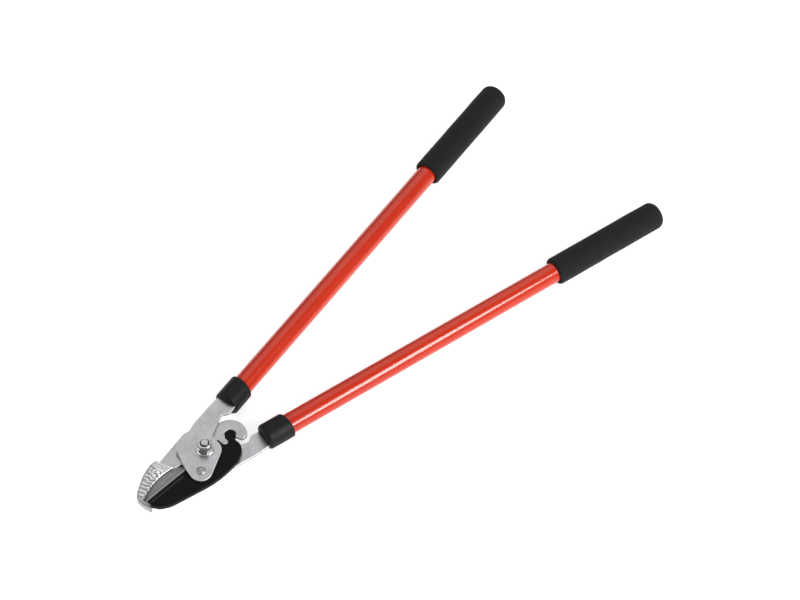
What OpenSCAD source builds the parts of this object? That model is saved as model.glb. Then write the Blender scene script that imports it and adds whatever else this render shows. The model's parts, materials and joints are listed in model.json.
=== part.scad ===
// Compound-action anvil lopper with two long tubular handles, drawn with its jaws closed.
// The tool lies flat: +X runs from the jaws to the grips, +Y towards the upper handle, +Z up.
// Outlines are drawn about a point on the centre line beside the main pivot, with the jaws'
// middle plane at z = 0, and placed() then moves everything to the tool's own origin.

/* [Handles] */
// Angle between each handle and the centre line when closed, degrees
handle_angle = 10.34; // [9.5:0.02:11]
// Distance from the crossing of the two handle axes to the main pivot
axis_crossing = 117; // [114:0.5:120]
// Distance along a handle from the pivot to the end of its grip
handle_len = 637.7; // [480:0.1:760]
// Outer diameter of the handle tubes
tube_d = 25; // [24.6:0.1:25.4]
// Wall thickness of the handle tubes
tube_wall = 1.5; // [1.2:0.1:1.8]

/* [Grips and collars] */
// Length of each foam grip
grip_len = 157.5; // [110:0.5:180]
// Outer diameter of each foam grip
grip_d = 34.4; // [30:0.2:38]
// Radius of the rounded end of a grip
grip_end_r = 9; // [5:0.5:11]
// Outer diameter of the collar at the front of each tube
collar_d = 31.2; // [30.6:0.2:33]
// Distance along a handle from the pivot to the collar's front face
collar_start = 65.2; // [64:0.1:67]
// Length of each collar
collar_len = 32; // [30:0.5:36]

/* [Plates and jaws] */
// Thickness of the two arm plates
arm_t = 4; // [3.5:0.1:4.2]
// Thickness of the blade and of the anvil jaw's plate
jaw_t = 5; // [4.4:0.1:5.4]
// Gap between an arm plate and a jaw
plate_gap = 0.15; // [0.1:0.05:0.2]
// Thickness of the cast anvil
anvil_t = 11; // [10:0.2:12]
// Radius of the curved cutting edge
edge_r = 84; // [83.8:0.1:84.2]
// Gap between the cutting edge and the anvil when closed
edge_gap = 0.15; // [0.1:0.05:0.3]

/* [Pivots] */
// Diameter of the main pivot bolt's shank
bolt_d = 10; // [9.6:0.2:10]
// Diameter of the two jaw rivets' shanks
rivet_d = 8; // [7:0.2:8]
// Diameter of the blade's round tail knob
knob_d = 13.2; // [12.8:0.1:13.3]
// Diameter of the socket in the anvil jaw that holds the knob
socket_d = 14.5; // [14.4:0.1:14.6]
// Radial clearance of the running fits
fit_gap = 0.05; // [0.03:0.01:0.08]

/* [Hidden] */
$fn = 64;

// Layers, from the middle plane outwards
jaw_top = jaw_t / 2;
arm_low = jaw_top + plate_gap;
arm_top = arm_low + arm_t;
anvil_top = anvil_t / 2;

// Pivots in the plane of the jaws
pivot = [0, 1.5];
jaw_pivot = [-23.5, 17];
knee = [35, -2.7];

// Each handle's own frame starts where its axis passes closest to the centre point
foot = axis_crossing * sin(handle_angle) * [-sin(handle_angle), cos(handle_angle)];
grip_start = handle_len - grip_len;
grip_end_wall = 6;
tube_start = collar_start + 7;
collar_end = collar_start + collar_len;

// Tang at the back of each arm, inside the tube
tang_w = 14;
tang_end = collar_start + 66;
tang_pin_d = 5;
tang_pin_at = collar_start + 22;

// Cutting edge: an arc of edge_r between these two ends
edge_centre = [-57.35, -73.36];
edge_tip_x = -94.6;
edge_heel_x = -31;
bevel_y = -1.3;
edge_t = 0.4;

// Cast anvil
nose_x = -98.9;
claw_x = edge_tip_x - 0.5;
anvil_back_x = -42;
anvil_screw_at = [-60.7, 15.7];
anvil_screw_d = 4;
tongue_wall = 1.5;
tongue_tip_x = -72;

// Angle that the blade turns on its rivet, against the upper arm, as the handles open fully
blade_swing = 12.3;

// Fasteners
washer_t = 1.6;
washer_d = 21;
bush_wall = 1.2;
bush_room = 0.6;
hex_af = 17;
bolt_head_h = 6.4;
nut_hex_h = 7.2;
nut_h = 10.6;
bolt_tail = 1.8;
dome_h = 2.2;
dome_d = 11;
sink_h = 1.6;
sink_d = 11.4;

// The object's own origin: middle of its box in X and Y, underside of the grips in Z
end_x = foot.x + (handle_len - grip_end_r) * cos(handle_angle)
      + (grip_d / 2 - grip_end_r) * sin(handle_angle) + grip_end_r;
mid_x = (nose_x + end_x) / 2;

// ---- outline helpers ----
function unit(v) = v / norm(v);

// Points of an arc about c, from angle a0 to a1
function arc(c, r, a0, a1, steps = 16) =
    [for (i = [0:steps]) let (a = a0 + (a1 - a0) * i / steps) c + r * [cos(a), sin(a)]];

// Points of an arc about c, from the place above x0 to the place above x1
function arc_over(c, r, x0, x1, steps = 20) =
    arc(c, r, acos((x0 - c.x) / r), acos((x1 - c.x) / r), steps);

// One corner at p between its neighbours a and b, rounded to radius r
function corner(a, p, b, r) =
    let (u = unit([a.x, a.y] - [p.x, p.y]), v = unit([b.x, b.y] - [p.x, p.y]),
         half = acos(u * v) / 2,
         c = [p.x, p.y] + unit(u + v) * r / sin(half),
         s = [p.x, p.y] + u * r / tan(half) - c,
         e = [p.x, p.y] + v * r / tan(half) - c,
         a0 = atan2(s.y, s.x),
         turn = (atan2(e.y, e.x) - a0 + 540) % 360 - 180)
    arc(c, r, a0, a0 + turn, max(2, ceil(abs(turn) / (r > 20 ? 2 : 7))));

// A closed outline from corners [x, y] or [x, y, radius]
function rounded(pts) =
    let (n = len(pts))
    [for (i = [0:n - 1]) let (p = pts[i])
        each (len(p) == 3 ? corner(pts[(i + n - 1) % n], p, pts[(i + 1) % n], p.z) : [p])];

// A place given along a handle and outwards from its axis, seen in the jaws' frame
function on_handle(along, out) =
    [foot.x + along * cos(handle_angle) - out * sin(handle_angle),
     foot.y + along * sin(handle_angle) + out * cos(handle_angle)];

// ---- placing helpers ----
module placed() translate([-mid_x, 0, grip_d / 2]) children();
module lower_side() rotate([180, 0, 0]) children();
module handle_frame() translate([foot.x, foot.y, 0]) rotate([0, 0, handle_angle]) children();
module slab(z0, z1) translate([0, 0, z0]) linear_extrude(z1 - z0) children();
module at(p, z = 0) translate([p.x, p.y, z]) children();
module bar(d, from, to) translate([from, 0, 0]) rotate([0, 90, 0]) cylinder(d = d, h = to - from);
module turned(profile) rotate([0, 90, 0]) rotate_extrude() polygon(profile);
module hex(af, h) cylinder(d = af / cos(30), h = h, $fn = 6);

// Shallow round dome standing on z = 0
module dome(d, h) {
    ball_r = (d * d / 4 + h * h) / (2 * h);
    intersection() {
        translate([0, 0, h - ball_r]) sphere(r = ball_r);
        cylinder(d = d, h = h + 1);
    }
}

// ---- handles ----
// Arm plate: a teardrop round the pivots that runs back into a tang. pivot_y is the bore's height.
module arm(pivot_y) {
    outline = rounded(concat(
        [[16.8, -11.2, 14], [17.4, 8.8, 5], [38.5, 19.2, 8], [45.2, 22, 5], [53, 17.3, 7],
         concat(on_handle(collar_start - 2, -13), 3), on_handle(collar_start + 5, -13),
         on_handle(collar_start + 5, -tang_w / 2), concat(on_handle(tang_end, -tang_w / 2), 3),
         concat(on_handle(tang_end, tang_w / 2), 3), on_handle(collar_start + 5, tang_w / 2),
         on_handle(collar_start + 5, 10.6), concat(on_handle(48, 12.4), 60),
         concat(on_handle(19, 12.2), 12), [4.2, 32.9, 6]],
        arc([-4, 10], 23.6, 88, 155, 20), [[-33.5, 1.5, 80]],
        arc([jaw_pivot.x, -jaw_pivot.y], 13.4, 168, 297, 36)));
    difference() {
        slab(arm_low, arm_top) polygon(outline);
        at([pivot.x, pivot_y], arm_low - 1) cylinder(d = bolt_d + 2 * fit_gap, h = arm_t + 2);
        at([jaw_pivot.x, -jaw_pivot.y], arm_low - 1) cylinder(d = rivet_d, h = arm_t + 2);
        handle_frame() translate([tang_pin_at, 0, 0]) cylinder(d = tang_pin_d, h = arm_top + 1);
    }
}

module tube() handle_frame() difference() {
    bar(tube_d, tube_start, handle_len - grip_end_wall);
    bar(tube_d - 2 * tube_wall, tube_start - 1, handle_len);
    translate([tang_pin_at, 0, -tube_d]) cylinder(d = tang_pin_d, h = 2 * tube_d);
}

// Moulded filler between the flat tang and the round tube
module tang_insert() handle_frame() difference() {
    bar(tube_d - 2 * tube_wall, tube_start, tang_end + 4);
    translate([tube_start - 1, -tang_w / 2, arm_low]) cube([tang_end - tube_start + 1, tang_w, arm_t]);
    translate([tang_pin_at, 0, -tube_d]) cylinder(d = tang_pin_d, h = 2 * tube_d);
}

module tang_pin() handle_frame()
    translate([tang_pin_at, 0, -tube_d / 2 + 0.3]) cylinder(d = tang_pin_d, h = tube_d - 0.6);

// Moulded collar over the front of the tube, with a slot for the arm plate
module collar() handle_frame() difference() {
    turned(rounded([[0, collar_start], [collar_d / 2, collar_start, 3.5],
                    [collar_d / 2, collar_end, 2.5], [0, collar_end]]));
    bar(tube_d, tube_start, collar_end + 1);
    translate([collar_start - 1, -13.2, arm_low]) cube([7.5, 24.5, arm_t]);
    translate([collar_start - 1, -tang_w / 2, arm_low]) cube([9, tang_w, arm_t]);
}

// Foam sleeve with a closed, rounded end
module grip() handle_frame() difference() {
    turned(rounded([[0, grip_start], [grip_d / 2, grip_start, 4.5],
                    [grip_d / 2, handle_len, grip_end_r], [0, handle_len]]));
    bar(tube_d, grip_start - 1, handle_len - grip_end_wall);
}

// ---- main pivot ----
module pivot_bolt() color("silver") placed() at(pivot) {
    z_head = -arm_top - washer_t;
    translate([0, 0, z_head]) cylinder(d = bolt_d, h = arm_top + washer_t + nut_h + bolt_tail - z_head);
    translate([0, 0, z_head - bolt_head_h]) hex(hex_af, bolt_head_h);
}

module ring(d_out, d_in, z0, z1) at(pivot, z0) difference() {
    cylinder(d = d_out, h = z1 - z0);
    translate([0, 0, -1]) cylinder(d = d_in, h = z1 - z0 + 2);
}

module pivot_bush() color("goldenrod") placed()
    ring(bolt_d + 2 * bush_wall, bolt_d, -arm_low, arm_low - fit_gap);

module bolt_washer() color("lightgray") placed() ring(washer_d, bolt_d, -arm_top - washer_t, -arm_top);

module nut_washer() color("lightgray") placed()
    ring(washer_d, bolt_d, arm_top + fit_gap, arm_top + washer_t);

// Self-locking nut: a hexagon with a round collar above it
module pivot_nut() color("gainsboro") placed() at(pivot, arm_top + washer_t) difference() {
    union() {
        intersection() {
            hex(hex_af, nut_hex_h);
            translate([0, 0, -1]) cylinder(d = hex_af * 1.1, h = nut_hex_h + 1);
        }
        rotate_extrude() polygon(rounded([[0, 0], [hex_af / 2 - 0.6, 0], [hex_af / 2 - 0.6, nut_h, 2], [0, nut_h]]));
    }
    translate([0, 0, -1]) cylinder(d = bolt_d, h = nut_h + 2);
    translate([0, 0, nut_hex_h]) cylinder(d = bolt_d + 3, h = nut_h - nut_hex_h - 0.8);
}

module nut_locking_ring() color([0.2, 0.2, 0.21]) placed()
    ring(bolt_d + 3, bolt_d, arm_top + washer_t + nut_hex_h, arm_top + washer_t + nut_h - 0.8);

// Rivet of the blade: a dome on the arm plate, a flush cone in the blade's far face
module rivet() at([jaw_pivot.x, -jaw_pivot.y]) {
    translate([0, 0, -jaw_top + sink_h]) cylinder(d = rivet_d, h = arm_top + jaw_top - sink_h);
    translate([0, 0, -jaw_top + 0.1]) cylinder(d1 = sink_d - 0.5, d2 = rivet_d, h = sink_h - 0.1);
    translate([0, 0, arm_top]) dome(dome_d, dome_h);
}

// Hole for that rivet in a jaw, with its countersink on the far face
module rivet_hole() at([jaw_pivot.x, -jaw_pivot.y]) {
    translate([0, 0, -jaw_top - 1]) cylinder(d = rivet_d + 2 * fit_gap, h = jaw_t + 2);
    translate([0, 0, -jaw_top - 0.1]) cylinder(d1 = sink_d + 0.2, d2 = rivet_d + 2 * fit_gap, h = sink_h + 0.1);
}

// ---- jaws ----
// Inner finger of the hook, and the clearance round the bush
lobe = [24.05, -4.95];
lobe_r = 3.75;
bush_hole_r = bolt_d / 2 + bush_wall + bush_room;

// The tongue's edge runs at one wall's thickness behind the anvil's working face
tongue_edge = arc_over(edge_centre, edge_r + edge_gap + tongue_wall, tongue_tip_x, anvil_back_x - 1.5, 8);

// Plate of the anvil jaw: a tongue for the anvil in front and a hooked socket behind
module anvil_jaw() color("silver") placed() difference() {
    slab(-jaw_top, jaw_top) polygon(rounded(concat(
        tongue_edge,
        arc_over(edge_centre, edge_r + edge_gap, anvil_back_x + 0.1, edge_heel_x, 8),
        [[-26, 4.3, 6], [-8, 3.2], [8, 3.2], [20.3, 3.2, 2]],
        arc(lobe, lobe_r, 180, 360),
        [[27.8, knee.y], knee, [37, -9], [38.6, -11.5, 3], [41.2, -17.2, 3.5], [49.6, -16.2, 5]],
        arc([34.3, -1.8], 20.8, -34, 100, 48),
        [[16, 30, 6], [3, 34.4, 2], [-0.5, 36.6, 2], [-35, 29.9, 60], [-46.6, 27.4],
         [-48.8, 25.2], [-68, 20.5, 3], [tongue_tip_x, 16.5, 2]])));
    at(knee, -jaw_t) cylinder(d = socket_d, h = 2 * jaw_t);
    at(pivot, -jaw_t) cylinder(r = bush_hole_r, h = 2 * jaw_t);
    at(anvil_screw_at, -jaw_t) cylinder(d = anvil_screw_d, h = 2 * jaw_t);
    lower_side() rivet_hole();
}

// Cast anvil with a claw round the blade's tip, cross ribs, and a slot for the jaw's tongue
module anvil() color("gainsboro") placed() difference() {
    slab(-anvil_top, anvil_top) polygon(rounded(concat(
        arc_over(edge_centre, edge_r + edge_gap, claw_x, anvil_back_x),
        [[-48, 27.2, 2], [-50.5, 30.4, 2], [-58, 30.9, 10], [-73, 26.4, 30], [-93, 14.2, 12],
         [-98.7, 8.4, 4], [nose_x, -3, 12], [-96.6, -12.4, 1], [claw_x, -13, 0.3]])));
    slab(-jaw_top, jaw_top) polygon(rounded(concat(
        tongue_edge,
        [[anvil_back_x + 0.5, 8.5], [-44, 30], [-46.6, 27.4], [-48.8, 25.2], [-68, 20.5, 3],
         [tongue_tip_x, 16.5, 2]])));
    at(anvil_screw_at, -anvil_t) cylinder(d = anvil_screw_d, h = 2 * anvil_t);
    for (flip = [0, 1], a = [70:2.6:113]) if (abs(a - 92.5) > 3.5)
        mirror([0, 0, flip]) at(edge_centre, anvil_top)
            rotate([0, 0, a]) translate([edge_r - 2, 0, 0]) rotate([45, 0, 0])
                translate([0, -0.7, -0.7]) cube([rib_len(a), 1.4, 1.4]);
}

// Ribs get shorter where the anvil narrows to its nose
function rib_len(a) = a < 72 ? 12 : a < 98 ? 17 : 16 - (a - 98) * 0.45;

module anvil_screw() color("silver") placed() at(anvil_screw_at) {
    translate([0, 0, -anvil_top - 3.6]) cylinder(d = anvil_screw_d, h = anvil_t + 3.6);
    translate([0, 0, anvil_top]) dome(9.2, 2.4);
}

module anvil_screw_nut() color("silver") placed() at(anvil_screw_at, -anvil_top - 3.2) difference() {
    hex(7, 3.2);
    translate([0, 0, -1]) cylinder(d = anvil_screw_d, h = 6);
}

// Blade: a flat plate with a wedge-ground convex edge, and a round knob on its tail
module blade() color([0.16, 0.17, 0.18]) placed() difference() {
    union() {
        slab(-jaw_top, jaw_top) polygon(rounded(concat(
            [[edge_heel_x, 6.2], [edge_heel_x, bevel_y], [edge_tip_x, bevel_y], [edge_tip_x, -6.5, 5],
             [-87.5, -17.8, 14], [-76.5, -24.4, 30], [-12, -39, 120], [17, -34.6, 35], [33, -26, 14],
             [34.7, -17.5, 8], [34.3, -9], knee, [knee.x - knob_d / 2, knee.y]],
            arc(lobe, lobe_r + 0.6, 0, -180),
            [[lobe.x - lobe_r - 0.6, 2.8, 2], [8, 2.8], [-8, 2.8], [-26, 3.9, 2]])));
        at(knee, -jaw_top) cylinder(d = knob_d, h = jaw_t);
        hull() {
            translate([edge_tip_x, bevel_y - 0.1, -jaw_top]) cube([edge_heel_x - edge_tip_x, 0.1, jaw_t]);
            slab(-edge_t / 2, edge_t / 2) polygon(arc_over(edge_centre, edge_r, edge_tip_x, edge_heel_x, 24));
        }
    }
    for (a = [0 : blade_swing / 3 : blade_swing])
        at([jaw_pivot.x, -jaw_pivot.y], -jaw_t) rotate([0, 0, a])
            translate([pivot.x - jaw_pivot.x, pivot.y + jaw_pivot.y, 0]) cylinder(r = bush_hole_r, h = 2 * jaw_t);
    rivet_hole();
}

// ---- the two handles' pieces ----
module upper_arm() color("silver") placed() arm(pivot.y);
module lower_arm() color("silver") placed() lower_side() arm(-pivot.y);
module upper_tube() color("orangered") placed() tube();
module lower_tube() color("orangered") placed() lower_side() tube();
module upper_collar() color([0.13, 0.13, 0.14]) placed() collar();
module lower_collar() color([0.13, 0.13, 0.14]) placed() lower_side() collar();
module upper_grip() color([0.18, 0.18, 0.19]) placed() grip();
module lower_grip() color([0.18, 0.18, 0.19]) placed() lower_side() grip();
module upper_tang_insert() color("dimgray") placed() tang_insert();
module lower_tang_insert() color("dimgray") placed() lower_side() tang_insert();
module upper_tang_pin() color("silver") placed() tang_pin();
module lower_tang_pin() color("silver") placed() lower_side() tang_pin();
module blade_rivet() color("gainsboro") placed() rivet();
module anvil_rivet() color("gainsboro") placed() lower_side() rivet();

lower_arm();
lower_tube();
lower_collar();
lower_grip();
lower_tang_insert();
lower_tang_pin();
upper_arm();
upper_tube();
upper_collar();
upper_grip();
upper_tang_insert();
upper_tang_pin();
pivot_bolt();
pivot_bush();
bolt_washer();
nut_washer();
pivot_nut();
nut_locking_ring();
blade_rivet();
anvil_rivet();
anvil_jaw();
anvil();
anvil_screw();
anvil_screw_nut();
blade();
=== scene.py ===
import json
import math

import bmesh
import bpy
from mathutils import Matrix, Vector, noise


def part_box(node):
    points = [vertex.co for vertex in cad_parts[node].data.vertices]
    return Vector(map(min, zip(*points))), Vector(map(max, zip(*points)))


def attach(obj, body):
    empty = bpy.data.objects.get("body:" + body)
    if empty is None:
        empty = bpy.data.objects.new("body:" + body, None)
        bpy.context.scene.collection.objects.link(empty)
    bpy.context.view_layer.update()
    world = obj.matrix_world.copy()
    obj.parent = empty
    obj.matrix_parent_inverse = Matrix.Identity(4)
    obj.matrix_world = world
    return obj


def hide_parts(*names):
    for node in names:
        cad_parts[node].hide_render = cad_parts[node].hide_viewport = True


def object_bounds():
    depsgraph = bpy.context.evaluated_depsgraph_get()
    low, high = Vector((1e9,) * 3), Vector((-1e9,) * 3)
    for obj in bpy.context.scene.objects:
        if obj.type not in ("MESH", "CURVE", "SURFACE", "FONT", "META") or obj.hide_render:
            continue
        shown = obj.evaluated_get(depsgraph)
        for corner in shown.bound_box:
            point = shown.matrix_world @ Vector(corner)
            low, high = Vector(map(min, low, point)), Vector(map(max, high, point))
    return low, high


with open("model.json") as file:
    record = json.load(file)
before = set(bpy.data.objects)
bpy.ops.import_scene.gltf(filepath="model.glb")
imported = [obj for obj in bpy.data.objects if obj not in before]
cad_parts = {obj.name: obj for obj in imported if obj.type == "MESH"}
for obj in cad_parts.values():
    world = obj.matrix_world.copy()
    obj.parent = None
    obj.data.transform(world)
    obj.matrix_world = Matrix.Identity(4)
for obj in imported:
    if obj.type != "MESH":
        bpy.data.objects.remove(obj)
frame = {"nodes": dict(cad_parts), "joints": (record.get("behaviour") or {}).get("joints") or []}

# Compound-action anvil lopper. Lengths are in millimetres until plane_matrix() scales them by MM into the
# frame's metres. The design's own plane has its origin beside the main pivot, X towards the grips,
# Y towards the upper handle, and Z up from the jaws' middle plane.
CAD_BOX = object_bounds()
MM = 0.001
JOINT_AT = {j["name"]: Vector(j["pos_m"]) for j in frame["joints"]}
PIVOT = (0.0, 1.5)
ORIGIN = JOINT_AT["handle_pivot"] - MM * Vector((*PIVOT, 0))
LOWER_SIDE = Matrix.Rotation(math.pi, 4, "X")


def design_point(position):
    """A place in the frame, in the design plane's millimetres."""
    return (Vector(position) - ORIGIN) / MM


def node_z(node):
    """Lowest and highest Z of a CAD node, in the design plane's millimetres."""
    low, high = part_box(node)
    return design_point(low).z, design_point(high).z


BLADE_RIVET = tuple(design_point(JOINT_AT["blade_pivot"]).xy)
HANDLE_ANGLE = math.radians(10.34)
AXIS_CROSSING = 117.0
FOOT = AXIS_CROSSING * math.sin(HANDLE_ANGLE) * Vector((-math.sin(HANDLE_ANGLE), math.cos(HANDLE_ANGLE)))
ARM_LOW, ARM_TOP = node_z("upper_arm")
JAW_TOP = node_z("anvil_jaw")[1]
ANVIL_TOP = 5.5
WASHER_TOP = node_z("nut_washer")[1]
NUT_TOP = node_z("pivot_nut")[1]
BOLT_LOW, BOLT_TOP = node_z("pivot_bolt")
HEX_AF = 17.0


# ---- placing and mesh helpers ----
def plane_matrix(x=0.0, y=0.0, z=0.0, below=False):
    """Takes millimetres about a point of the design plane to the frame; below is the lower side."""
    side = LOWER_SIDE if below else Matrix.Identity(4)
    return Matrix.Translation(ORIGIN) @ Matrix.Scale(MM, 4) @ side @ Matrix.Translation((x, y, z))


def handle_matrix(below):
    """Takes millimetres along a handle, outwards from it and above it to the frame."""
    return plane_matrix(FOOT.x, FOOT.y, 0, below) @ Matrix.Rotation(HANDLE_ANGLE, 4, "Z")


def smooth(t):
    """0 below 0, 1 above 1, and an S curve between."""
    t = max(0.0, min(1.0, t))
    return t * t * (3 - 2 * t)


def corner(before, here, after, radius, step=math.radians(8)):
    """Points of the arc that rounds one corner of an outline."""
    p, u, v = Vector(here), Vector(before) - Vector(here), Vector(after) - Vector(here)
    u.normalize()
    v.normalize()
    half = math.acos(max(-1.0, min(1.0, u.dot(v)))) / 2
    centre = p + (u + v).normalized() * radius / math.sin(half)
    start = p + u * radius / math.tan(half) - centre
    end = p + v * radius / math.tan(half) - centre
    turn = start.angle_signed(end) * -1
    count = max(2, math.ceil(abs(turn) / step))
    return [centre + Matrix.Rotation(turn * i / count, 2) @ start for i in range(count + 1)]


def rounded(points, closed=True, step=math.radians(8)):
    """An outline from corners (x, y) or (x, y, radius)."""
    out = []
    last = len(points) - 1
    for i, p in enumerate(points):
        if len(p) == 3 and (closed or 0 < i < last):
            out += corner(points[i - 1][:2], p[:2], points[(i + 1) % len(points)][:2], p[2], step)
        else:
            out.append(Vector(p[:2]))
    return out


def piece(name, bm, matrix, body, material, stands_for=(), angle=35):
    """Makes an object of a bmesh, in its place, riding on its body."""
    bmesh.ops.transform(bm, matrix=matrix, verts=bm.verts)
    bmesh.ops.recalc_face_normals(bm, faces=bm.faces)
    mesh = bpy.data.meshes.new(name)
    bm.to_mesh(mesh)
    bm.free()
    obj = bpy.data.objects.new(name, mesh)
    bpy.context.scene.collection.objects.link(obj)
    for m in material if isinstance(material, list) else [material]:
        mesh.materials.append(m)
    mesh.shade_smooth()
    mesh.set_sharp_from_angle(angle=math.radians(angle))
    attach(obj, body)
    if stands_for:
        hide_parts(*stands_for)
    return obj


def lathe(profile, steps=96, axis="X"):
    """A closed turned solid. The profile is (along, radius) points, and ends on the axis are closed."""
    bm = bmesh.new()
    rings = []
    for along, radius in profile:
        if radius < 1e-6:
            rings.append([bm.verts.new((along, 0, 0))])
        else:
            angles = [math.tau * i / steps for i in range(steps)]
            ring = [(along, radius * math.cos(a), radius * math.sin(a)) for a in angles]
            rings.append([bm.verts.new(p) for p in ring])
    pairs = list(zip(rings, rings[1:]))
    if len(rings[0]) > 1 and len(rings[-1]) > 1:
        pairs.append((rings[-1], rings[0]))
    for a, b in pairs:
        for i in range(steps):
            j = (i + 1) % steps
            if len(a) == 1 and len(b) == 1:
                break
            if len(a) == 1:
                bm.faces.new((a[0], b[i], b[j]))
            elif len(b) == 1:
                bm.faces.new((a[i], b[0], a[j]))
            else:
                bm.faces.new((a[i], b[i], b[j], a[j]))
    if axis == "Z":
        bmesh.ops.rotate(bm, verts=bm.verts, matrix=Matrix.Rotation(-math.pi / 2, 3, "Y"))
    return bm


def prism(outline, low, high):
    """A straight solid of an outline between two heights."""
    bm = bmesh.new()
    floor = [bm.verts.new((p[0], p[1], low)) for p in outline]
    roof = [bm.verts.new((p[0], p[1], high)) for p in outline]
    bm.faces.new(floor)
    bm.faces.new(roof)
    for i in range(len(outline)):
        j = (i + 1) % len(outline)
        bm.faces.new((floor[i], floor[j], roof[j], roof[i]))
    return bm


def cad_copy(node, merge=0.002):
    """The CAD node's mesh with its flat faces merged, in the design plane's millimetres."""
    source = frame["nodes"][node].data
    bm = bmesh.new()
    verts = [bm.verts.new(design_point(v.co)) for v in source.vertices]
    for polygon in source.polygons:
        try:
            bm.faces.new([verts[i] for i in polygon.vertices])
        except ValueError:
            continue
    bmesh.ops.remove_doubles(bm, verts=bm.verts, dist=merge)
    bmesh.ops.dissolve_limit(bm, angle_limit=math.radians(0.8), verts=bm.verts, edges=bm.edges)
    bmesh.ops.recalc_face_normals(bm, faces=bm.faces)
    return bm


def combined(bm, other, operation):
    """The boolean of two bmeshes, as a new one."""
    objects = []
    for source in (bm, other):
        bmesh.ops.recalc_face_normals(source, faces=source.faces)
        mesh = bpy.data.meshes.new("part")
        source.to_mesh(mesh)
        source.free()
        objects.append(bpy.data.objects.new("part", mesh))
        bpy.context.scene.collection.objects.link(objects[-1])
    modifier = objects[0].modifiers.new("cut", "BOOLEAN")
    modifier.object = objects[1]
    modifier.operation = operation
    modifier.solver = "EXACT"
    evaluated = objects[0].evaluated_get(bpy.context.evaluated_depsgraph_get())
    result = bmesh.new()
    result.from_mesh(evaluated.to_mesh())
    for o in objects:
        bpy.data.objects.remove(o)
    bmesh.ops.remove_doubles(result, verts=result.verts, dist=0.001)
    return result


def round_edges(obj, width, segments, angle=30, finish=-1, clamp=True):
    """Rounds the object's edges that are sharper than angle; width is in millimetres.
    finish is the index of the rounding's material, or -1 for that of the faces beside it."""
    modifier = obj.modifiers.new("round_edges", "BEVEL")
    modifier.width = width * MM
    modifier.segments = segments
    modifier.limit_method = "ANGLE"
    modifier.angle_limit = math.radians(angle)
    modifier.miter_outer = "MITER_ARC"
    modifier.use_clamp_overlap = clamp
    modifier.harden_normals = True
    modifier.material = finish
    return obj


# ---- materials ----
class Shader:
    """A material's node tree, with short calls for the nodes that this file uses."""

    def __init__(self, name, **constants):
        self.material = bpy.data.materials.new(name)
        self.material.use_nodes = True
        self.tree = self.material.node_tree
        self.bsdf = self.tree.nodes["Principled BSDF"]
        self.position = self.node("ShaderNodeTexCoord").outputs["Object"]
        for socket, value in constants.items():
            self.bsdf.inputs[socket.replace("_", " ")].default_value = value

    def node(self, kind, inputs=None, **settings):
        """Adds a node, with each input linked to a socket or set to a value."""
        made = self.tree.nodes.new(kind)
        for key, value in settings.items():
            setattr(made, key, value)
        for key, value in (inputs or {}).items():
            if isinstance(value, bpy.types.NodeSocket):
                self.tree.links.new(value, made.inputs[key])
            else:
                made.inputs[key].default_value = value
        return made

    def stretched(self, x, y, z, turn=0.0):
        """The position scaled by a factor along each axis, after a turn about Z."""
        mapping = self.node("ShaderNodeMapping", {"Vector": self.position})
        mapping.inputs["Scale"].default_value = (x, y, z)
        mapping.inputs["Rotation"].default_value = (0, 0, turn)
        return mapping.outputs[0]

    def noise(self, size_mm, detail=3.0, roughness=0.5, at=None):
        """Noise whose largest grain is about size_mm."""
        inputs = {"Vector": at or self.position, "Scale": 1 / (size_mm * MM), "Detail": detail,
                  "Roughness": roughness}
        return self.node("ShaderNodeTexNoise", inputs).outputs[0]

    def cells(self, size_mm):
        """Distance to the nearest of points strewn about size_mm apart."""
        inputs = {"Vector": self.position, "Scale": 1 / (size_mm * MM)}
        return self.node("ShaderNodeTexVoronoi", inputs, feature="F1").outputs["Distance"]

    def spread(self, value, low, high, to_low=0.0, to_high=1.0):
        """Maps low...high of a value to another range, and stays inside it."""
        inputs = {"Value": value, "From Min": low, "From Max": high, "To Min": to_low, "To Max": to_high}
        return self.node("ShaderNodeMapRange", inputs).outputs[0]

    def math(self, operation, a, b):
        return self.node("ShaderNodeMath", {0: a, 1: b}, operation=operation).outputs[0]

    def mix(self, factor, a, b):
        """Colour a where factor is 0, and b where it is 1."""
        made = self.node("ShaderNodeMix", {0: factor, 6: a, 7: b}, data_type="RGBA")
        return made.outputs[2]

    def bump(self, height, depth_mm, strength, over=None):
        """A normal bumped by a height, over another normal if there is one."""
        inputs = {"Height": height, "Distance": depth_mm * MM, "Strength": strength}
        if over:
            inputs["Normal"] = over
        return self.node("ShaderNodeBump", inputs).outputs[0]

    def finish(self, colour, roughness, normal=None):
        """Links what varies over the surface, and returns the material."""
        links = {"Base Color": colour, "Roughness": roughness, "Normal": normal}
        for socket, value in links.items():
            if value is not None:
                self.tree.links.new(value, self.bsdf.inputs[socket])
        return self.material


def gray(value, warmth=0.0):
    """A gray in linear light, a little warmer or cooler."""
    return (value * (1 + warmth), value, value * (1 - warmth), 1)


def steel(value):
    """A gray in linear light with the faint lilac cast of blasted steel."""
    return (value, value * 0.996, value * 1.016, 1)


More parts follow.
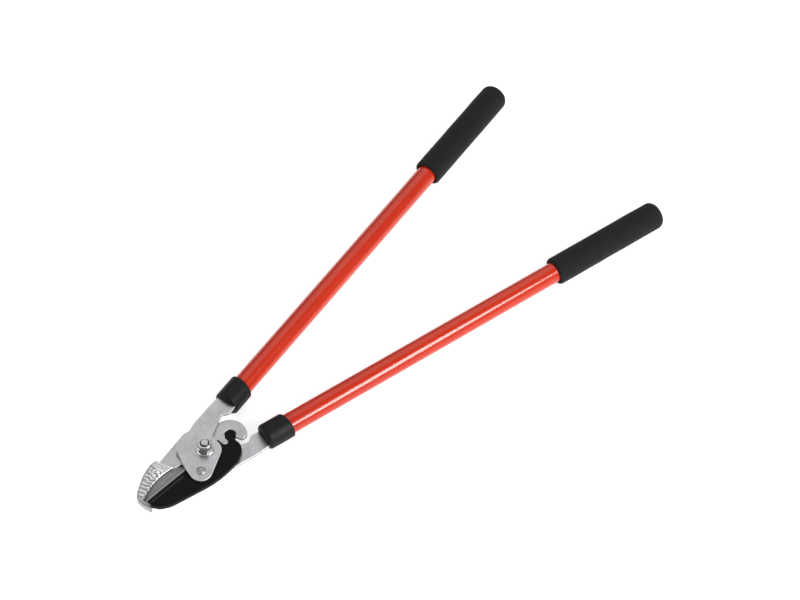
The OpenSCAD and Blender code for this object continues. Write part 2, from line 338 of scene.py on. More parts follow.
def blasted_steel(name, base):
    """Bead-blasted plate: fine dimples, cloudy patches and a few rubbed spots."""
    s = Shader(name, Metallic=1.0)
    fine, clouds, rubbed = s.noise(0.28, 2), s.noise(16, 4, 0.6), s.noise(1.5, 4, 0.65)
    colour = s.mix(s.spread(clouds, 0.4, 0.6), steel(base * 0.80), steel(base * 1.16))
    colour = s.mix(s.spread(rubbed, 0.5, 0.66, 0, 0.6), colour, steel(base * 1.45))
    colour = s.mix(s.spread(fine, 0.35, 0.7, 0, 0.7), colour, steel(base * 1.25))
    cloudy, smoothed = s.spread(clouds, 0.3, 0.7, 0.34, 0.44), s.spread(rubbed, 0.3, 0.7, 0.04, -0.04)
    roughness = s.math("ADD", cloudy, smoothed)
    dimples = s.bump(fine, 0.03, 0.6)
    return s.finish(colour, roughness, s.bump(s.noise(1.1, 3), 0.04, 0.5, dimples))


def painted_edge_light(name, base):
    """An edge finish with short burnish marks; its tone is painted light, brighter than the plates' faces as
    a painted highlight on their edges.
    """
    s = Shader(name, Metallic=1.0)
    marks, film = s.noise(0.5, 4, 0.6, at=s.stretched(1.0, 1.0, 0.25)), s.noise(5, 3)
    # painted light: the edge's own tone, set apart from the faces beside it
    colour = s.mix(s.spread(marks, 0.35, 0.65), steel(base * 0.88), steel(base * 1.1))
    return s.finish(colour, s.spread(film, 0.35, 0.65, 0.5, 0.62), s.bump(marks, 0.02, 0.4))


def cast_metal():
    """Die-cast anvil: bright skin, slightly wavy, duller in its recesses and darker there as painted shade.
    """
    s = Shader("cast_anvil", Metallic=1.0)
    painted_light_level = s.node("ShaderNodeAttribute", attribute_name="painted_light_level").outputs["Fac"]
    skin, pits = s.noise(2.2, 4, 0.6), s.noise(0.35, 2)
    colour = s.mix(s.spread(skin, 0.3, 0.7), gray(0.54, -0.01), gray(0.72, -0.005))
    # painted shade: the skin darkens where the painted light level is low
    colour = s.mix(s.spread(painted_light_level, 0.0, 0.85), gray(0.34, -0.01), colour)
    roughness = s.spread(painted_light_level, 0.0, 1.0, 0.5, 0.3)
    wavy = s.bump(skin, 0.16, 0.6)
    return s.finish(colour, roughness, s.bump(pits, 0.03, 0.5, wavy))


def plated(name, base=0.72, rough=0.2):
    """Bright zinc plating with faint handling marks."""
    s = Shader(name, Metallic=1.0)
    film, marks = s.noise(5, 4, 0.6), s.noise(0.6, 3)
    colour = s.mix(s.spread(film, 0.3, 0.7), gray(base * 0.92, -0.01), gray(base * 1.05, 0.012))
    hazy, marked = s.spread(film, 0.3, 0.7, rough - 0.04, rough + 0.06), s.spread(marks, 0.4, 0.7, 0, 0.06)
    roughness = s.math("ADD", hazy, marked)
    return s.finish(colour, roughness, s.bump(marks, 0.02, 0.35))


def blade_coating(name="blade_coating", low=0.0075, high=0.011, shine=0.12):
    """Non-stick coating: near black, satin, with an orange-peel film."""
    s = Shader(name, Specular_IOR_Level=shine)
    film, fine = s.noise(1.1, 3), s.noise(0.22, 2)
    colour = s.mix(s.spread(s.noise(9, 4), 0.3, 0.7), gray(low, -0.03), gray(high, -0.05))
    roughness = s.spread(film, 0.3, 0.7, 0.34, 0.46)
    return s.finish(colour, roughness, s.bump(fine, 0.012, 0.5, s.bump(film, 0.02, 0.4)))


def channel_coating():
    """The same coating inside the ground channel, where grinding marks show through."""
    s = Shader("channel_coating", Specular_IOR_Level=0.1)
    marks = s.noise(0.5, 3, 0.6, at=s.stretched(1.0, 0.35, 0.35, 0.5))
    colour = s.mix(s.spread(marks, 0.35, 0.65), gray(0.003, -0.03), gray(0.034, -0.04))
    return s.finish(colour, s.spread(marks, 0.3, 0.7, 0.5, 0.65), s.bump(marks, 0.03, 0.7))


def ground_steel(name, low, high, rough):
    """Ground steel with straight wheel marks across the edge."""
    s = Shader(name, Metallic=1.0)
    marks = s.noise(0.16, 3, 0.6, at=s.stretched(1.0, 0.03, 0.03))
    bands = s.noise(1.6, 2, 0.5, at=s.stretched(1.0, 0.06, 0.06))
    colour = s.mix(s.spread(marks, 0.3, 0.7), gray(low, -0.012), gray(high, -0.006))
    roughness = s.spread(bands, 0.3, 0.7, rough - 0.05, rough + 0.06)
    return s.finish(colour, roughness, s.bump(marks, 0.012, 0.5))


def red_paint():
    """Powder-coated tube: glossy red-orange with a very slight orange peel."""
    s = Shader("red_paint", Coat_Weight=1.0, Coat_Roughness=0.14, Coat_IOR=1.5, Specular_IOR_Level=0.12)
    clouds, peel, dust = s.noise(60, 3), s.noise(1.8, 2, 0.4), s.noise(0.45, 2)
    colour = s.mix(s.spread(clouds, 0.35, 0.65), (0.525, 0.029, 0.004, 1), (0.565, 0.034, 0.006, 1))
    colour = s.mix(s.spread(dust, 0.55, 0.75), colour, (0.51, 0.027, 0.004, 1))
    roughness = s.spread(peel, 0.3, 0.7, 0.34, 0.42)
    return s.finish(colour, roughness, s.bump(peel, 0.002, 0.3))


def grip_foam():
    """Closed-cell rubber foam: matt charcoal skin, open pores darkened with painted shade, and a soft bloom.
    """
    s = Shader("grip_foam", Specular_IOR_Level=0.25, Sheen_Weight=0.06, Sheen_Roughness=0.55)
    pores, crumbs, clouds = s.cells(0.55), s.noise(0.3, 4, 0.7), s.noise(12, 4, 0.6)
    skin = s.spread(pores, 0.06, 0.42)
    colour = s.mix(s.spread(clouds, 0.3, 0.7), gray(0.0165, -0.03), gray(0.0215, -0.04))
    # painted shade: each pore darkens towards its centre
    colour = s.mix(skin, gray(0.009), colour)
    roughness = s.spread(crumbs, 0.3, 0.7, 0.78, 0.92)
    return s.finish(colour, roughness, s.bump(crumbs, 0.07, 0.6, s.bump(skin, 0.09, 0.6)))


def moulded_plastic(name, low, high, rough):
    """Moulded plastic with a fine spark-eroded texture."""
    s = Shader(name, Specular_IOR_Level=0.3)
    texture, flow = s.noise(0.3, 3), s.noise(8, 3)
    colour = s.mix(s.spread(flow, 0.3, 0.7), gray(low, -0.02), gray(high, -0.02))
    flowed = s.spread(flow, 0.3, 0.7, rough - 0.03, rough + 0.04)
    roughness = s.math("ADD", flowed, s.spread(texture, 0.3, 0.7, -0.03, 0.03))
    return s.finish(colour, roughness, s.bump(texture, 0.03, 0.5))


def bronze():
    """Sintered bronze bush with fine pores."""
    s = Shader("bush_bronze", Metallic=1.0)
    pits = s.noise(0.5, 4, 0.6)
    colour = s.mix(s.spread(pits, 0.3, 0.7), (0.42, 0.24, 0.10, 1), (0.60, 0.37, 0.17, 1))
    return s.finish(colour, s.spread(pits, 0.3, 0.7, 0.3, 0.45), s.bump(pits, 0.03, 0.5))


ARM_STEEL = blasted_steel("arm_steel", 0.43)
JAW_STEEL = blasted_steel("jaw_steel", 0.41)
CAST = cast_metal()
# brighter than the plates: a painted highlight on their rounded edges
EDGE_HIGHLIGHT = painted_edge_light("painted_edge_light", 0.70)
# the anvil's working-edge walls: a tone of their own, painted light for how those walls catch the light
CAST_WALL_PAINTED_LIGHT = painted_edge_light("cast_wall_painted_light", 0.50)
PLATED = plated("plated_steel")
NUT_PLATE = plated("nut_steel", 0.46, 0.17)
BOLT_END = plated("bolt_end_steel", 0.52, 0.38)
RIVET = plated("rivet_steel", 0.44, 0.48)
# dark plating tone for the bolt's thread sides: painted shade
THREAD_SHADE = plated("thread_painted_shade", 0.10, 0.35)
COATING = blade_coating()
CHANNEL = channel_coating()
# a thin lighter, shinier line below the channel: a painted highlight where its lower edge catches the light
GROOVE_LINE_HIGHLIGHT = blade_coating("groove_line_painted_highlight", 0.06, 0.11, 0.4)
GROUND = ground_steel("ground_bevel", 0.24, 0.33, 0.42)
HONED = ground_steel("honed_line", 0.36, 0.55, 0.34)
PAINT = red_paint()
FOAM = grip_foam()
COLLAR = moulded_plastic("collar_plastic", 0.0095, 0.0135, 0.50)
INSERT = moulded_plastic("insert_plastic", 0.05, 0.07, 0.5)
NYLON = moulded_plastic("nylon", 0.014, 0.02, 0.42)
BRONZE = bronze()


# ---- handles ----
TUBE_R = 12.5
TUBE_WALL = 1.5
COLLAR_FRONT, COLLAR_BACK = 65.2, 97.2
COLLAR_SKEW = 1.9
COLLAR_R = 15.6
COLLAR_FLOOR = 7.6
ARM_SLOT_Y = (-13.3, 11.4)
ARM_SLOT_SLACK = 0.08
TUBE_IN_COLLAR = 7.0
TUBE_SHORT_OF_END = 6.0
GRIP_FRONT, GRIP_END = 480.2, 637.66
GRIP_R = 17.2
PLATE_MERGE = 0.15


def tube(side, below):
    """Painted tube, from inside its collar to inside its grip."""
    front, back = COLLAR_FRONT + TUBE_IN_COLLAR, GRIP_END - TUBE_SHORT_OF_END
    outer = TUBE_R - 0.02
    profile = rounded([(front, TUBE_R - TUBE_WALL), (front, outer, 0.5), (back, outer, 0.5),
                       (back, TUBE_R - TUBE_WALL)])
    return piece(f"{side}_tube_painted", lathe(profile, 128), handle_matrix(below), f"{side}_handle",
                 PAINT, [f"{side}_tube"])


def collar(side, below):
    """Moulded collar: rounded nose, oblique rear lip, and a slot that the arm plate fills."""
    inner = TUBE_R + 0.05
    profile = rounded([(COLLAR_FRONT, 0), (COLLAR_FRONT, COLLAR_R, 3.5), (COLLAR_BACK, COLLAR_R, 2.2),
                       (COLLAR_BACK, inner, 0.6), (COLLAR_FRONT + COLLAR_FLOOR, inner),
                       (COLLAR_FRONT + COLLAR_FLOOR, 0)], closed=False, step=math.radians(6))
    body = lathe(profile, 128)
    for v in body.verts:
        v.co.x += COLLAR_SKEW * v.co.y / COLLAR_R * smooth((v.co.x - COLLAR_BACK + 14) / 12)
    near, far = COLLAR_FRONT - 2, COLLAR_FRONT + 8.2
    low, high = ARM_SLOT_Y
    slot = prism([(near, low), (far, low), (far, high), (near, high)],
                 ARM_LOW - ARM_SLOT_SLACK, ARM_TOP + ARM_SLOT_SLACK)
    return piece(f"{side}_collar_moulded", combined(body, slot, "DIFFERENCE"), handle_matrix(below),
                 f"{side}_handle", COLLAR, [f"{side}_collar"])


def grip(side, below):
    """Foam sleeve: soft rounded mouth round the tube, a full round end, and a slightly uneven skin."""
    mouth = TUBE_R + 0.45
    inner = TUBE_R + 0.05
    corners = [(GRIP_FRONT + 14, inner), (GRIP_FRONT + 7, inner), (GRIP_FRONT + 3.5, mouth, 4),
               (GRIP_FRONT, mouth + 0.6, 1.4), (GRIP_FRONT, GRIP_R, 3.4), (GRIP_END, GRIP_R, 9),
               (GRIP_END, 4.0), (GRIP_END - 0.5, 2.6), (GRIP_END - 0.5, 0)]
    outline = rounded(corners, closed=False, step=math.radians(5))
    profile = []
    for a, b in zip(outline, outline[1:]):
        count = max(1, round((b - a).length / 2.0))
        profile += [a.lerp(b, i / count) for i in range(count)]
    profile.append(outline[-1])
    bm = lathe(profile, 160)
    seed = 7.3 if below else 2.1
    for v in bm.verts:
        radius = math.hypot(v.co.y, v.co.z)
        if radius > TUBE_R + 2:
            spot = Vector((v.co.x * 0.06, v.co.y * 0.09, v.co.z * 0.09 + seed))
            dip = 0.16 * (noise.noise(spot) - 0.6) + 0.05 * (noise.noise(spot * 6) - 0.5)
            v.co.y += v.co.y / radius * min(0.0, dip)
            v.co.z += v.co.z / radius * min(0.0, dip)
    obj = piece(f"{side}_grip_foam", bm, handle_matrix(below), f"{side}_handle", FOAM,
                [f"{side}_grip"], angle=60)
    return obj


def plate(name, node, body, material, radius):
    """A stamped plate: the CAD shape with rounded edges, brighter as a painted highlight."""
    obj = piece(name, cad_copy(node, PLATE_MERGE), plane_matrix(), body, [material, EDGE_HIGHLIGHT], [node])
    return round_edges(obj, radius, 5, finish=1, clamp=False)


def dress(node, material):
    """Gives a CAD node that stays as it is its material."""
    mesh = frame["nodes"][node].data
    mesh.materials.clear()
    mesh.materials.append(material)


for side, below in (("upper", False), ("lower", True)):
    tube(side, below)
    collar(side, below)
    grip(side, below)
    plate(f"{side}_arm_plate", f"{side}_arm", f"{side}_handle", ARM_STEEL, 0.95)
    for part, material in (("tang_insert", INSERT), ("tang_pin", PLATED)):
        dress(f"{side}_{part}", material)


# ---- main pivot ----
HEX_HEIGHT = 7.2
NUT_BORE_R = 5.02
BOLT_HEAD_HEIGHT = 6.4
SHANK_R = 4.98
THREAD_R, THREAD_ROOT_R, THREAD_PITCH = 4.95, 4.2, 1.5
WASHER_R, WASHER_BORE_R = 10.45, 5.05


def hexagon(af):
    """Corners of a hexagon, af across its flats."""
    radius = af / 2 / math.cos(math.pi / 6)
    angles = [math.radians(60 * i) for i in range(6)]
    return [(radius * math.cos(a), radius * math.sin(a)) for a in angles]


def chamfered_hex(af, low, high, both=False, cut=1.15):
    """A hexagon whose corners are turned off at the top, and at the bottom if both."""
    tip = af / 2 / math.cos(math.pi / 6) + 0.05
    drop = (tip - af / 2 + 0.25) * math.tan(math.radians(30))
    profile = [(low, 0), (low, tip - cut if both else tip)]
    if both:
        profile.append((low + drop, tip))
    profile += [(high - drop, tip), (high, tip - cut), (high, 0)]
    return combined(prism(hexagon(af), low - 1, high + 1), lathe(profile, 96, "Z"), "INTERSECT")


def pivot_nut():
    """Self-locking nut: chamfered hexagon under a round crimped collar."""
    low = WASHER_TOP
    hex_top = low + HEX_HEIGHT
    body = chamfered_hex(HEX_AF - 0.05, low, hex_top, cut=1.3)
    rim = HEX_AF / 2 - 0.6
    outline = [(hex_top - 0.8, 5.6), (hex_top - 0.8, rim), (NUT_TOP, rim, 2.2), (NUT_TOP, 6.7, 0.5),
               (NUT_TOP - 0.9, 6.5), (NUT_TOP - 0.9, 5.6)]
    crown = lathe(rounded(outline, step=math.radians(7)), 96, "Z")
    bore = lathe([(low - 1, 0), (low - 1, NUT_BORE_R), (NUT_TOP + 1, NUT_BORE_R), (NUT_TOP + 1, 0)], 64, "Z")
    whole = combined(combined(body, crown, "UNION"), bore, "DIFFERENCE")
    obj = piece("pivot_nut_body", whole, plane_matrix(*PIVOT), "lower_handle", NUT_PLATE,
                ["pivot_nut"], angle=30)
    return round_edges(obj, 0.12, 2, 40)


def thread_solid(low, high, major, minor, pitch, steps=96, rows=14):
    """A threaded rod with a chamfered tip: each ring's radius follows the helix."""
    bm = bmesh.new()
    count = round((high - low) / pitch * rows)
    rings = []
    for k in range(count + 1):
        z = low + (high - low) * k / count
        ring = []
        for i in range(steps):
            phase = ((z - low) / pitch - i / steps) % 1.0
            flank = abs(phase - 0.5) * 2
            depth = min(1.0, max(0.0, (flank - 0.12) / 0.76))
            radius = min(major - (major - minor) * depth, major - 0.9 + (high - z))
            a = math.tau * i / steps
            ring.append(bm.verts.new((radius * math.cos(a), radius * math.sin(a), z)))
        rings.append(ring)
    for a, b in zip(rings, rings[1:]):
        for i in range(steps):
            j = (i + 1) % steps
            bm.faces.new((a[i], a[j], b[j], b[i]))
    bm.faces.new(rings[0])
    bm.faces.new(rings[-1])
    return bm


def pivot_bolt():
    """Hexagon-head bolt, its shank plain up to the nut and threaded in it, the thread's sides painted dark as
    shade.
    """
    head_top = BOLT_LOW + BOLT_HEAD_HEIGHT
    head = chamfered_hex(HEX_AF, BOLT_LOW, head_top)
    bmesh.ops.rotate(head, verts=head.verts, cent=(0, 0, BOLT_LOW + BOLT_HEAD_HEIGHT / 2),
                     matrix=Matrix.Rotation(math.pi, 3, "X"))
    top = WASHER_TOP + 1
    shank = lathe([(head_top - 1, 0), (head_top - 1, SHANK_R), (top, SHANK_R), (top, 0)], 64, "Z")
    thread = thread_solid(top - 0.4, BOLT_TOP, THREAD_R, THREAD_ROOT_R, THREAD_PITCH)
    whole = combined(combined(head, shank, "UNION"), thread, "UNION")
    # painted shade: the thread's sides above the nut take the dark tone
    for face in whole.faces:
        middle = face.calc_center_median()
        if middle.z > top and middle.xy.length > 3.9 and abs(face.normal.z) < 0.9:
            face.material_index = 1
    return piece("pivot_bolt_body", whole, plane_matrix(*PIVOT), "lower_handle", [BOLT_END, THREAD_SHADE],
                 ["pivot_bolt"], angle=30)


def flat_washer(name, low, high, stands_for):
    """Washer with its upper rim chamfered."""
    profile = rounded([(low, WASHER_BORE_R), (low, WASHER_R, 0.3), (high - 0.7, WASHER_R, 0.4),
                       (high, 9.6, 0.5), (high, WASHER_BORE_R)])
    return piece(name, lathe(profile, 128, "Z"), plane_matrix(*PIVOT), "lower_handle", PLATED,
                 [stands_for])


def locking_ring():
    """Nylon ring in the nut's crimped collar."""
    low, high = WASHER_TOP + HEX_HEIGHT + 0.05, NUT_TOP - 0.8
    profile = rounded([(low, NUT_BORE_R), (low, 6.45), (high, 6.45), (high, NUT_BORE_R, 0.4)])
    return piece("nut_locking_ring_nylon", lathe(profile, 96, "Z"), plane_matrix(*PIVOT), "lower_handle",
                 NYLON, ["nut_locking_ring"])


pivot_nut()
pivot_bolt()
flat_washer("nut_washer_plated", *node_z("nut_washer"), "nut_washer")
flat_washer("bolt_washer_plated", *node_z("bolt_washer"), "bolt_washer")
locking_ring()
dress("pivot_bush", BRONZE)


# ---- rivets ----
def rivet(name, below, body, stands_for):
    """Domed head on the arm, and a flush cone in the jaw's far face."""
    profile = rounded([(-JAW_TOP + 0.05, 0), (-JAW_TOP + 0.05, 5.35), (-JAW_TOP + 1.6, 3.98), (ARM_TOP, 3.98),
                       (ARM_TOP, 5.5), (ARM_TOP + 0.35, 5.5, 0.25), (ARM_TOP + 1.75, 3.6, 2.6),
                       (ARM_TOP + 2.15, 1.2, 2.0), (ARM_TOP + 2.15, 0)], closed=False, step=math.radians(5))
    x, y = BLADE_RIVET
    return piece(name, lathe(profile, 96, "Z"), plane_matrix(x, y, 0, below), body, RIVET,
                 [stands_for], angle=40)


rivet("blade_rivet_head", False, "upper_handle", "blade_rivet")
rivet("anvil_rivet_head", True, "lower_handle", "anvil_rivet")


# ---- blade ----
EDGE_CENTRE = Vector((-57.35, -73.36))
EDGE_R = 84.0
EDGE_GAP = 0.15
EDGE_TIP_X, EDGE_HEEL_X = -94.6, -31.0
CHANNEL_LOW_Y, CHANNEL_TOP_Y, CHANNEL_END_X = -5.9, -2.2, -41.0
CHANNEL_DEPTH = 0.2
HONED_Y, GROUND_Y = -1.5, -0.5
LINE_LOW_Y, LINE_TOP_Y, LINE_START_X = -6.6, -6.1, EDGE_TIP_X + 4
TIP_BAND_X, TIP_BAND_Y = EDGE_TIP_X + 1.9, -7.5
COATED_FACE, GROUND_FACE, HONED_FACE, CHANNEL_FACE, HIGHLIGHT_LINE_FACE = range(5)


def blade_finish(middle, on_top):
    """Index of the finish at a place on the blade; on_top is true on both of its flat sides."""
    if middle.x > EDGE_HEEL_X - 0.01:
        return COATED_FACE
    if middle.y > GROUND_Y:
        return GROUND_FACE
    if middle.y > HONED_Y:
        return HONED_FACE
    if not on_top:
        return COATED_FACE
    if middle.x < TIP_BAND_X and middle.y > TIP_BAND_Y:
        return GROUND_FACE
    if middle.x < CHANNEL_END_X and CHANNEL_LOW_Y < middle.y < CHANNEL_TOP_Y:
        return CHANNEL_FACE
    # the thin line below the channel gets the painted highlight
    if LINE_START_X < middle.x < CHANNEL_END_X and LINE_LOW_Y < middle.y < LINE_TOP_Y:
        return HIGHLIGHT_LINE_FACE
    return COATED_FACE


def blade():
    """CAD blade with a shallow channel beside the bevel on both sides, and each face given its finish."""
    bm = cad_copy("blade")
    for z in (JAW_TOP, -JAW_TOP):
        groove = prism([(EDGE_TIP_X - 1, CHANNEL_LOW_Y), (CHANNEL_END_X - 2, CHANNEL_LOW_Y),
                        (CHANNEL_END_X, CHANNEL_LOW_Y + 2), (CHANNEL_END_X, CHANNEL_TOP_Y),
                        (EDGE_TIP_X - 1, CHANNEL_TOP_Y)], z - CHANNEL_DEPTH, z + CHANNEL_DEPTH)
        bm = combined(bm, groove, "DIFFERENCE")
    cuts = [((0, y, 0), (0, 1, 0)) for y in (LINE_LOW_Y, LINE_TOP_Y, HONED_Y, GROUND_Y)]
    cuts += [((x, 0, 0), (1, 0, 0)) for x in (TIP_BAND_X, LINE_START_X, CHANNEL_END_X, EDGE_HEEL_X)]
    for place, normal in cuts:
        everything = bm.verts[:] + bm.edges[:] + bm.faces[:]
        bmesh.ops.bisect_plane(bm, geom=everything, plane_co=place, plane_no=normal, dist=0.0005)
    for face in bm.faces:
        middle = face.calc_center_median()
        face.material_index = blade_finish(middle, abs(middle.z) > JAW_TOP - 0.5)
    obj = piece("blade_plate", bm, plane_matrix(), "blade_side",
                [COATING, GROUND, HONED, CHANNEL, GROOVE_LINE_HIGHLIGHT], ["blade"])
    return round_edges(obj, 0.14, 2, 25)


blade()


# ---- anvil jaw ----
plate("anvil_jaw_plate", "anvil_jaw", "anvil_side", JAW_STEEL, 0.8)


# ---- cast anvil ----
ANVIL_INNER_R = EDGE_R + EDGE_GAP
ANVIL_BACK_X, CLAW_X, CLAW_Y = -42.0, -95.1, -13.0
SCREW_AT = Vector((-60.7, 15.7))
RIB_PITCH = 4.8
RIB_FROM_X = -88.0
FINE_RIBS_X, FINE_RIB_PITCH = -57.0, 3.1
BOSS_R = 6.4


def resampled(points, count):
    """Points evenly spaced along an open line."""
    lengths = [0.0]
    for a, b in zip(points, points[1:]):
        lengths.append(lengths[-1] + (b - a).length)
    out, k = [], 0
    for i in range(count + 1):
        target = lengths[-1] * i / count
        while k < len(points) - 2 and lengths[k + 1] < target:
            k += 1
        share = (target - lengths[k]) / max(1e-9, lengths[k + 1] - lengths[k])
        out.append(points[k].lerp(points[k + 1], share))
    return out


def quarter_round(distance, radius):
    """How far a rounded edge has dropped, as a share, at a distance from it."""
    return 1 - math.sqrt(max(0.0, 1 - (1 - min(1.0, distance / radius)) ** 2))


def rib_height(p, inward):
    """Height of the cast ribs at a point, 0 in a gap, 1 on a crest and more on the screw's boss.
    inward is its distance from the working edge."""
    drift = noise.noise(Vector((p.x * 0.16, p.y * 0.16, 3.7)))
    lean = 3.0 * smooth((7 - inward) / 7) - 0.9 * smooth((inward - 9) / 8) + 1.5 * drift
    phase = ((p.x - RIB_FROM_X - lean + 3.0) / RIB_PITCH) % 1.0
    wave = abs(phase - 0.5) * 2
    rough = noise.noise(Vector((p.x * 0.45, p.y * 0.45, 8.1)))
    rib = (1 - smooth((wave - 0.36 + 0.25 * rough) / 0.58)) * (0.88 + 0.3 * rough)
    if p.x > FINE_RIBS_X:
        phase = ((p.x + 0.35 * inward) / FINE_RIB_PITCH) % 1.0
        rib = 1 - 0.35 * smooth((abs(phase - 0.5) * 2 - 0.4) / 0.5)
    away = (p - SCREW_AT).length
    boss = 1 - smooth((away - BOSS_R) / 1.8)
    return rib * (1 - boss) + boss * 1.35


def anvil():
    """Cast anvil: a grid of points between its working edge and its outer edge, raised by the ribs."""
    stations, across, levels = 260, 56, 8
    start, end = (math.acos((x - EDGE_CENTRE.x) / ANVIL_INNER_R) for x in (ANVIL_BACK_X, CLAW_X))
    arc = [EDGE_CENTRE + ANVIL_INNER_R * Vector((math.cos(a), math.sin(a)))
           for a in (start + (end - start) * i / 90 for i in range(91))]
    edge = [*[tuple(p) for p in arc[:-1]], (*arc[-1], 0.35), (CLAW_X, CLAW_Y)]
    inner = resampled(rounded(edge, closed=False), stations)
    back = [(-49.6, 30.0), (-51.5, 30.6, 2), (-58, 30.9, 10), (-73, 26.4, 30), (-93, 14.2, 12),
            (-98.7, 8.4, 4), (-98.9, -3, 12), (-96.6, -12.4, 1), (CLAW_X - 0.7, CLAW_Y)]
    outer = resampled(rounded(back, closed=False), stations)
    bm = bmesh.new()
    # a painted light level per point: low values are painted shade
    painted_light_level = bm.verts.layers.float.new("painted_light_level")
    tops, bottoms = [], []
    for i in range(stations + 1):
        top_row, bottom_row = [], []
        width = (outer[i] - inner[i]).length
        for k in range(across + 1):
            t = 0.5 - 0.5 * math.cos(math.pi * k / across) if width > 6 else k / across
            p = inner[i].lerp(outer[i], t)
            inward, outward = t * width, (1 - t) * width
            rib = rib_height(p, inward)
            claw = smooth((-93.2 - p.x) / 1.6) * smooth((6.0 - p.y) / 4)
            rib = rib * (1 - claw) + 0.75 * claw
            ledge = smooth((outward - 1.1) / 0.9)
            drop = 0.6 * (1 - rib) * ledge + 0.8 * (1 - ledge)
            drop += 1.1 * quarter_round(inward, 1.2) + 0.5 * quarter_round(outward, 0.6)
            drop += 0.6 * quarter_round(min(i / 6, (stations - i) / 5), 1.0)
            height = ANVIL_TOP - min(2.4, drop)
            # painted shade in the rib gaps, on the outer ledge and on the claw's top; none along the working
            # edge
            shade = max(0.25 + 0.75 * rib * ledge, 0.9 * smooth((1.5 - inward) / 1.1)) - 0.45 * claw
            for row, z in ((top_row, height), (bottom_row, -height)):
                v = bm.verts.new((p.x, p.y, z))
                v[painted_light_level] = shade
                row.append(v)
        tops.append(top_row)
        bottoms.append(bottom_row)
    for i in range(stations):
        for k in range(across):
            bm.faces.new((tops[i][k], tops[i + 1][k], tops[i + 1][k + 1], tops[i][k + 1]))
            bm.faces.new((bottoms[i][k], bottoms[i][k + 1], bottoms[i + 1][k + 1], bottoms[i + 1][k]))
    rim = [(i, 0) for i in range(stations + 1)] + [(stations, k) for k in range(1, across + 1)]
    rim += [(i, across) for i in range(stations - 1, -1, -1)] + [(0, k) for k in range(across - 1, 0, -1)]
    walls = []
    for i, k in rim:
        a, b = tops[i][k], bottoms[i][k]
        column = [a]
        for n in range(1, levels):
            v = bm.verts.new(a.co.lerp(b.co, n / levels))
            # painted shade on the outer walls; the working edge's wall kept light
            v[painted_light_level] = 0.8 if k == 0 else 0.25
            column.append(v)
        walls.append([*column, b])
    for n, column in enumerate(walls):
        after = walls[(n + 1) % len(walls)]
        for m in range(levels):
            face = bm.faces.new((column[m], column[m + 1], after[m + 1], after[m]))
            # the working edge's walls take the cast wall's painted light tone
            face.material_index = 1 if n < stations * 0.93 else 0
    return piece("anvil_casting", bm, plane_matrix(), "anvil_side", [CAST, CAST_WALL_PAINTED_LIGHT],
                 ["anvil"], angle=50)


anvil()


def anvil_screw():
    """Dome-headed screw through the anvil's boss."""
    top = ANVIL_TOP + 0.3
    end, shank = -ANVIL_TOP - 3.6, 1.98
    outline = [(end, 0), (end, 1.6), (end + 0.4, shank), (top - 0.4, shank), (top - 0.4, 4.6),
               (top + 0.25, 4.6, 0.2), (top + 1.6, 3.1, 2.4), (top + 2.05, 1.0, 2.0), (top + 2.05, 0)]
    profile = rounded(outline, closed=False, step=math.radians(5))
    return piece("anvil_screw_head", lathe(profile, 96, "Z"), plane_matrix(*SCREW_AT), "anvil_side", PLATED,
                 ["anvil_screw"], angle=40)


def anvil_screw_nut():
    """Small hexagon nut on the screw's far end."""
    low, high = node_z("anvil_screw_nut")
    body = chamfered_hex(7.0, low, high, both=True, cut=0.55)
    bore = lathe([(low - 1, 0), (low - 1, 2.02), (high + 1, 2.02), (high + 1, 0)], 48, "Z")
    return piece("anvil_screw_nut_hex", combined(body, bore, "DIFFERENCE"), plane_matrix(*SCREW_AT),
                 "anvil_side", PLATED, ["anvil_screw_nut"], angle=30)


anvil_screw()
anvil_screw_nut()


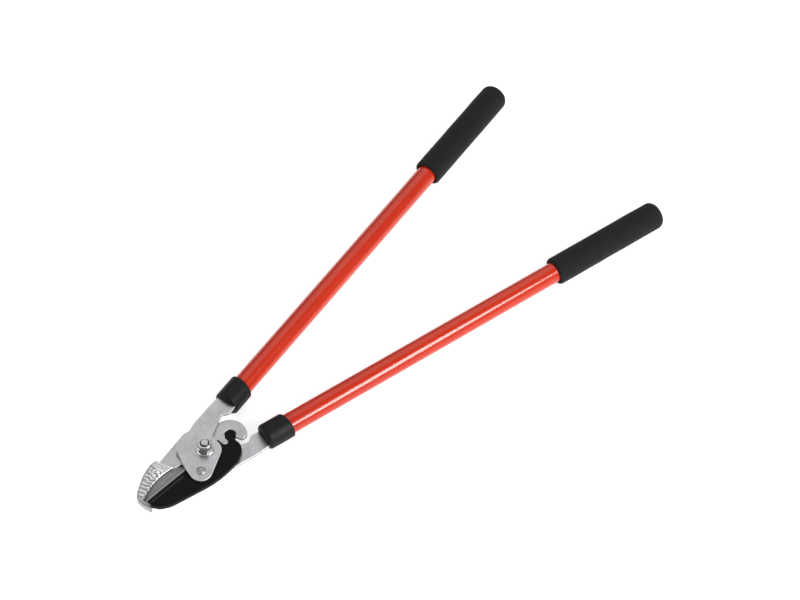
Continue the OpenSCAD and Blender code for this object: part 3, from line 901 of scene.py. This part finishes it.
# ---- studio ----
def area_light(name, place, aim, size, watts, along=(1, 0, 0)):
    """A rectangular soft box; along is the direction of its first side."""
    data = bpy.data.lights.new(name, "AREA")
    data.shape = "RECTANGLE"
    data.size, data.size_y = size
    data.energy = watts
    obj = bpy.data.objects.new(name, data)
    bpy.context.scene.collection.objects.link(obj)
    back = (Vector(place) - Vector(aim)).normalized()
    side = Vector(along)
    side = (side - side.dot(back) * back).normalized()
    up = back.cross(side)
    obj.matrix_world = Matrix.Translation(place) @ Matrix((side, up, back)).transposed().to_4x4()
    return obj


def studio():
    """Pale paper floor under soft light, seen with a little more contrast."""
    scene = bpy.context.scene
    scene.view_settings.view_transform = "Standard"
    scene.view_settings.look = "Medium High Contrast"
    world = bpy.data.worlds.new("studio")
    scene.world = world
    world.use_nodes = True
    background = world.node_tree.nodes["Background"]
    background.inputs["Color"].default_value = (0.97, 0.985, 1, 1)
    background.inputs["Strength"].default_value = 0.32
    area_light("key", (0.34, -2.06, 1.41), (0.0, -0.05, 0.0), (1.5, 0.66), 42, along=(0.485, 0.36, 0.48))
    area_light("overhead_back", (1.01, 0.98, 1.94), (0, 0, 0), (2.2, 2.2), 12)
    area_light("left_fill", (-1.84, 1.10, 1.22), (-0.2, 0, 0), (1.5, 1.5), 8)
    bm = bmesh.new()
    half, z = 6.0, CAD_BOX[0].z - 0.0002
    corners = [(-half, -half), (half, -half), (half, half), (-half, half)]
    bm.faces.new([bm.verts.new((x, y, z)) for x, y in corners])
    mesh = bpy.data.meshes.new("floor")
    bm.to_mesh(mesh)
    bm.free()
    floor = bpy.data.objects.new("floor", mesh)
    scene.collection.objects.link(floor)
    s = Shader("floor_paper", Specular_IOR_Level=0.1, Emission_Color=(1, 1, 1, 1), Emission_Strength=0.42)
    s.finish(s.mix(s.noise(400, 2), gray(0.90), gray(0.92)), s.spread(s.noise(3, 2), 0.3, 0.7, 0.85, 0.95))
    mesh.materials.append(s.material)


def camera():
    """The photograph's view: a long lens from above the jaws' side."""
    data = bpy.data.cameras.new("camera")
    data.lens = 121.3
    data.sensor_width = 36
    obj = bpy.data.objects.new("camera", data)
    bpy.context.scene.collection.objects.link(obj)
    right = Vector((0.7046, -0.7096, 0)).normalized()
    back = Vector((-0.4175, -0.4146, 0.8086)).normalized()
    up = back.cross(right)
    place = ORIGIN + Vector((-1.03067, -1.33550, 2.59500))
    obj.matrix_world = Matrix.Translation(place) @ Matrix((right, up, back)).transposed().to_4x4()
    bpy.context.scene.camera = obj


studio()
camera()
